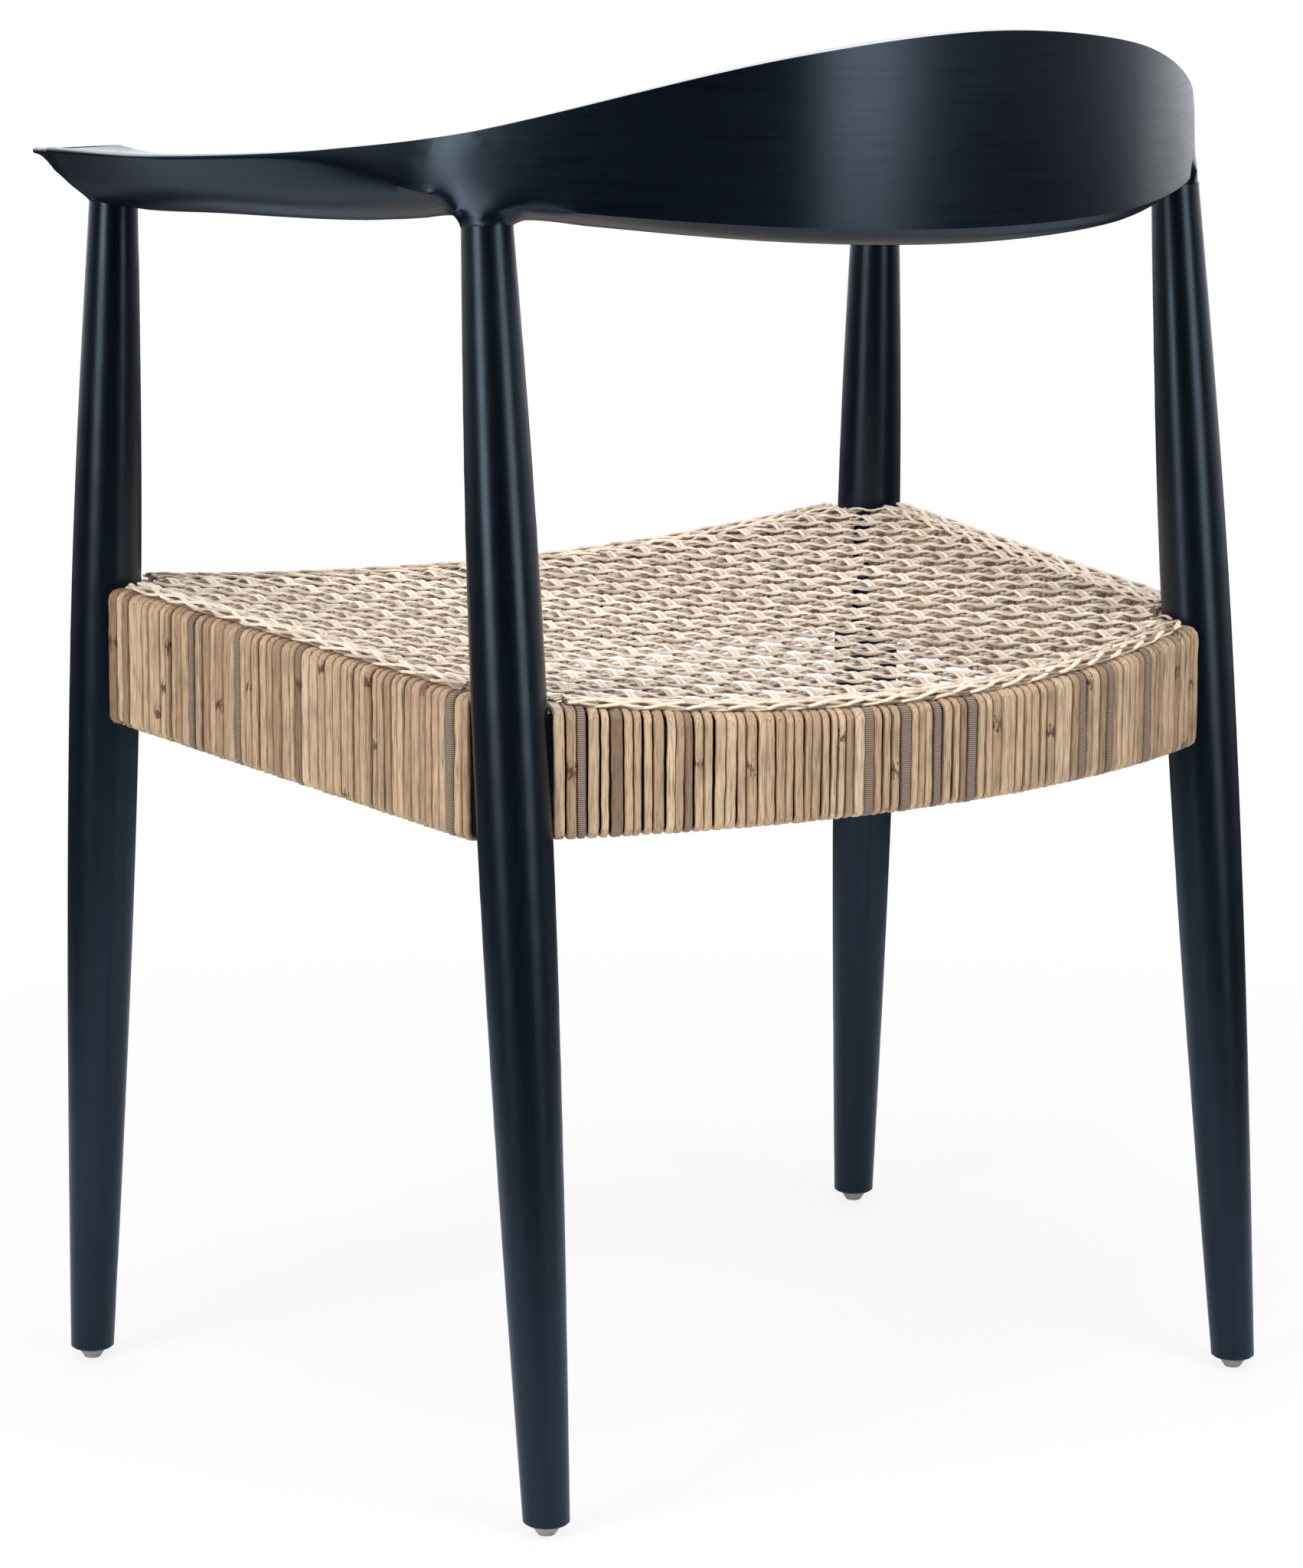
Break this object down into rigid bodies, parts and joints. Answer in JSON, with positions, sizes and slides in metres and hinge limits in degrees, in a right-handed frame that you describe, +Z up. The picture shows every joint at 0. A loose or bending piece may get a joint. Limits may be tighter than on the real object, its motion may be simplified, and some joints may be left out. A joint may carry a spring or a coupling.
{
  "type": "armchair",
  "caption": "Round-back wooden armchair with turned legs, one sculpted band for arms and back rest, rattan-bound seat rails and an open cane-woven seat.",
  "frame": {"origin": "on the floor, under the middle of the chair's box", "axes": "+Z up, +X to the sitter's left, the chair faces -Y"},
  "size_m": [0.6234, 0.4617, 0.7643],
  "materials": {
    "black_wood": "satin black stain",
    "binding_rattan": "glossy rattan peel",
    "seat_rattan": "satin rattan core",
    "plain_wood": "unfinished",
    "glide_plastic": "translucent grey"
  },
  "bodies": {
    "root": {"front_left_leg": "black_wood", "front_right_leg": "black_wood", "rear_left_leg": "black_wood", "rear_right_leg": "black_wood", "front_rail": "black_wood", "rear_rail": "black_wood", "left_rail": "black_wood", "right_rail": "black_wood", "front_rail_binding": "binding_rattan", "rear_rail_binding": "binding_rattan", "left_rail_binding": "binding_rattan", "right_rail_binding": "binding_rattan", "seat_weave": "seat_rattan", "left_arm": "black_wood", "right_arm": "black_wood", "back_rest": "black_wood", "back_dowels": "plain_wood", "front_left_glide": "glide_plastic", "front_right_glide": "glide_plastic", "rear_left_glide": "glide_plastic", "rear_right_glide": "glide_plastic"}
  },
  "joints": []
}
